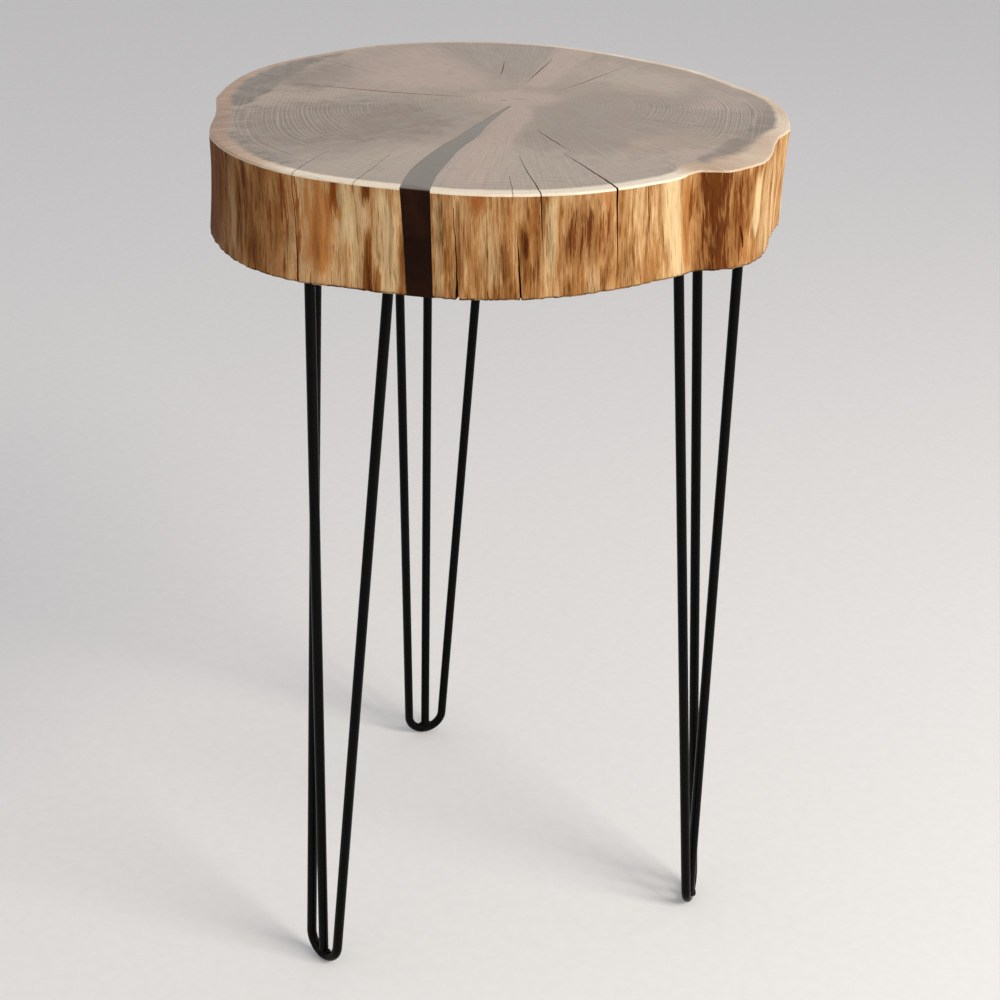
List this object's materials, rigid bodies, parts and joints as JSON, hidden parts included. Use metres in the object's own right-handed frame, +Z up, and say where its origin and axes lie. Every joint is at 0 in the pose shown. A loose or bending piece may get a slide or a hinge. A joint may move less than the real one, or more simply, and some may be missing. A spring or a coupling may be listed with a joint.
{
  "type": "live edge log slice side table with hairpin legs",
  "caption": "Round tree-trunk slice table top with a resin-filled crack, on black three-rod steel hairpin legs.",
  "frame": {"origin": "on the floor, under the centre of the top's bounding rectangle", "axes": "+Z up; -Y is the front, where the resin reaches the edge; +X is right seen from the front"},
  "size_m": [0.4422, 0.4398, 0.686],
  "materials": {
    "wood": "sanded end grain, clear satin varnish, with a peeled live edge",
    "resin": "cast, sanded flush and polished, nearly black brown",
    "black_paint": "satin black powder coat on round steel rod and plate",
    "screw_steel": "zinc plated"
  },
  "bodies": {
    "root": {"trunk_slice": "wood", "resin_fill": "resin", "rear_mounting_plate": "black_paint", "rear_bent_rod": "black_paint", "rear_middle_rod": "black_paint", "rear_screw_1": "screw_steel", "rear_screw_2": "screw_steel", "rear_screw_3": "screw_steel", "rear_screw_4": "screw_steel", "rear_screw_5": "screw_steel", "left_mounting_plate": "black_paint", "left_bent_rod": "black_paint", "left_middle_rod": "black_paint", "left_screw_1": "screw_steel", "left_screw_2": "screw_steel", "left_screw_3": "screw_steel", "left_screw_4": "screw_steel", "left_screw_5": "screw_steel", "right_mounting_plate": "black_paint", "right_bent_rod": "black_paint", "right_middle_rod": "black_paint", "right_screw_1": "screw_steel", "right_screw_2": "screw_steel", "right_screw_3": "screw_steel", "right_screw_4": "screw_steel", "right_screw_5": "screw_steel"}
  },
  "joints": []
}
